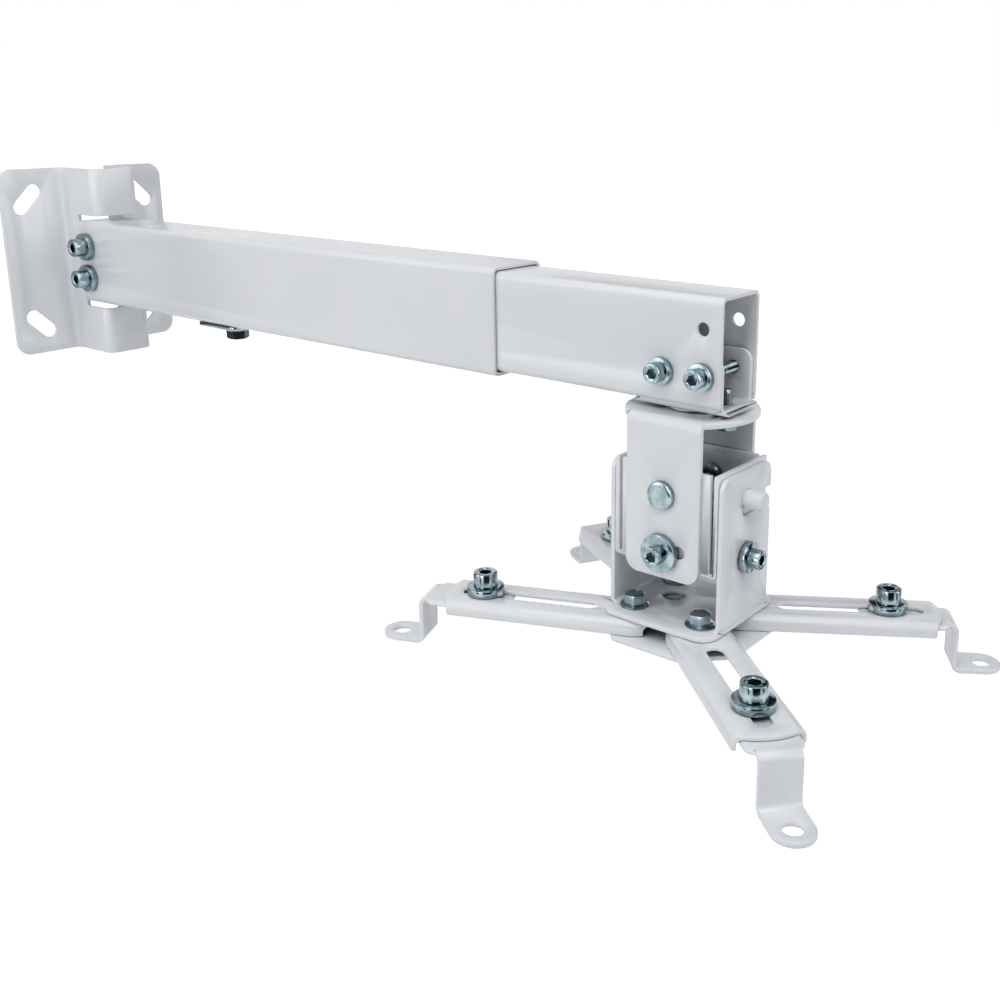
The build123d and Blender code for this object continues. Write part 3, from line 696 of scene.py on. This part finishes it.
def fit_rivets(node, rivet, direction):
    """Rivets in place of a CAD node."""
    seats = along(node, direction, rivet["Head Height"])
    sizes = dict(rivet, Grip=seats[0][2] - rivet["Head Height"])
    mesh = set_on_points(node + "_set", "rivet", [s[:2] for s in seats], sizes, "zinc")
    return as_piece(node + "_set", mesh, node, "zinc")


# Painted pieces
painted = ["wall_plate", "outer_tube", "inner_tube", "swivel_bracket", "swivel_spacer", "swivel_pin", "yoke",
           "tilt_box", "roll_rod", "hook_bracket", "leg_plate"]
painted += [f"{part}_{n}" for n in (1, 2, 3, 4) for part in ("leg_arm", "foot")]
for node in painted:
    soften(node, "white_paint", "_coated", YOKE_EDGE if node == "yoke" else COAT_EDGE)

# Zinc fasteners
fit_screws("plate_screws", M8, out_y, 3)
fit_rings("plate_washers", M8, out_y, 4)
fit_nuts("plate_nuts", M8, out_y)
fit_screws("bracket_screws", M6, out_y, 5)
fit_rings("bracket_washers", M6, out_y, 6)
fit_screws("tilt_screws", M6, out_y, 7)
fit_rings("tilt_washers", M6, out_y, 8)
fit_nuts("tilt_nuts", M6, out_y, ROUND_NUT)
fit_screws("roll_screws", M6, out_x, 11)
fit_rings("roll_washers", M6, out_x, 12)
fit_nuts("roll_nuts", M6, out_x, ROUND_NUT)
fit_rivets("tilt_rivets", RIVET, out_y)
fit_bolts("leg_bolts", M6, up_z, 5.0, "zinc", FLANGE)
fit_nuts("leg_nuts", M6, down_z)
fit_bolts("lock_bolt", M8, down_z, 6.0, "black_steel")
fit_bolts("swivel_bolt", M6, down_z, 4.0, "zinc")
fit_rings("swivel_washer", M6, down_z, 0)
soften("lock_strip", "zinc", "_stamped", STAMPED_EDGE)
fit_rings("lock_washers", M8, down_z, 9)
soften("lock_nut", "zinc", "_milled", STAMPED_EDGE)
for n in (1, 2, 3, 4):
    fit_screws(f"foot_screw_{n}", M8, up_z, 12 + n)
    fit_rings(f"foot_washer_{n}", M8, up_z, 20 + n)
    fit_nuts(f"foot_nut_{n}", M8, down_z)


def seen_directly(tree):
    """1 for what the camera sees itself, in a mirror or through glass, and 0 for light on its way."""
    path = add(tree, "ShaderNodeLightPath").outputs
    seen = calc(tree, "MAXIMUM", path["Is Camera Ray"], path["Is Glossy Ray"])
    return calc(tree, "MAXIMUM", seen, path["Is Transmission Ray"])


# Studio: pale floor, soft lamps, the photograph's camera
def plain_floor():
    mesh = bpy.data.meshes.new("floor")
    square = ((-1, -1), (1, -1), (1, 1), (-1, 1))
    corners = [(x * FLOOR_REACH, y * FLOOR_REACH, FLOOR_LEVEL) for x, y in square]
    mesh.from_pydata(corners, [], [(0, 1, 2, 3)])
    floor = linked("floor", mesh)
    material, tree, out = blank_material("pale_floor")
    seen = seen_directly(tree)
    matt = add(tree, "ShaderNodeBsdfDiffuse", {"Color": linear("#f4f4f4")}).outputs[0]
    place = add(tree, "ShaderNodeTexCoord").outputs["Object"]
    away = add(tree, "ShaderNodeVectorMath", {0: place}, operation="LENGTH").outputs["Value"]
    fade = add(tree, "ShaderNodeMapRange", {"Value": away, **GLOW}).outputs["Result"]
    glow = add(tree, "ShaderNodeEmission", {"Color": linear("#ffffff"), "Strength": fade}).outputs[0]
    both = add(tree, "ShaderNodeAddShader", {0: matt, 1: glow}).outputs[0]
    mixed = add(tree, "ShaderNodeMixShader", {0: seen, 1: matt, 2: both})
    tree.links.new(mixed.outputs[0], out.inputs["Surface"])
    mesh.materials.append(material)


def white_room():
    world = bpy.data.worlds.new("white_room")
    bpy.context.scene.world = world
    world.use_nodes = True
    tree = world.node_tree
    tree.nodes.clear()
    out = add(tree, "ShaderNodeOutputWorld")
    seen = seen_directly(tree)
    room = add(tree, "ShaderNodeBackground", {"Color": linear("#f3f6fa"), "Strength": ROOM_LIGHT}).outputs[0]
    white = add(tree, "ShaderNodeBackground", {"Color": linear("#ffffff"), "Strength": 1.0}).outputs[0]
    mixed = add(tree, "ShaderNodeMixShader", {0: seen, 1: room, 2: white})
    tree.links.new(mixed.outputs[0], out.inputs["Surface"])


def soft_lamp(name, place, target, size, power):
    light = bpy.data.lights.new(name, "AREA")
    light.shape = "RECTANGLE"
    light.size, light.size_y = size
    light.energy = power
    lamp = linked(name, light)
    lamp.location = place
    lamp.rotation_euler = (Vector(target) - Vector(place)).to_track_quat("-Z", "Y").to_euler()


def dark_card(name, heading, wide, low, high):
    """A dark upright card, in a ring round the head, that only bright metal and gloss reflect."""
    turn = math.radians(heading)
    centre = Vector((0.5 + CARD_RING * math.cos(turn), CARD_RING * math.sin(turn), 0.0))
    side = Vector((-math.sin(turn), math.cos(turn), 0.0)) * wide / 2
    corners = [centre + side * x + Vector((0, 0, z)) for x, z in ((-1, low), (1, low), (1, high), (-1, high))]
    mesh = bpy.data.meshes.new(name)
    mesh.from_pydata(corners, [], [(0, 1, 2, 3)])
    card = linked(name, mesh)
    material, tree, out = blank_material(name)
    matt = add(tree, "ShaderNodeBsdfDiffuse", {"Color": linear("#26343c")}).outputs[0]
    tree.links.new(matt, out.inputs["Surface"])
    mesh.materials.append(material)
    card.visible_camera = card.visible_diffuse = card.visible_shadow = False


def photograph_camera():
    lens = bpy.data.cameras.new("camera")
    lens.lens = CAMERA_LENS
    lens.sensor_width = CAMERA_SENSOR
    lens.sensor_fit = "HORIZONTAL"
    lens.shift_x, lens.shift_y = CAMERA_SHIFT
    lens.clip_start = 0.02
    camera = linked("camera", lens)
    heading, pitch = math.radians(CAMERA_HEADING), math.radians(CAMERA_PITCH)
    look = Vector((math.cos(heading) * math.cos(pitch), math.sin(heading) * math.cos(pitch), math.sin(pitch)))
    camera.location = CAMERA_PLACE
    camera.rotation_euler = look.to_track_quat("-Z", "Y").to_euler()
    bpy.context.scene.camera = camera


plain_floor()
white_room()
photograph_camera()
middle = (0.30, 0.0, -0.05)
soft_lamp("top_lamp", (0.75, -0.45, 1.20), (0.5, 0.0, -0.1), (1.4, 1.2), 10.5)
soft_lamp("left_lamp", (-0.55, -1.45, 0.55), middle, (1.0, 1.4), 7.0)
soft_lamp("front_lamp", (0.60, -1.60, 0.15), middle, (0.7, 0.7), 5.0)
soft_lamp("right_lamp", (1.90, 0.40, 0.40), middle, (0.8, 1.2), 6.5)
for heading, wide, low, high in CARDS:
    dark_card(f"card_{heading}", heading, wide, low, high)

bpy.context.scene.view_settings.view_transform = "Standard"
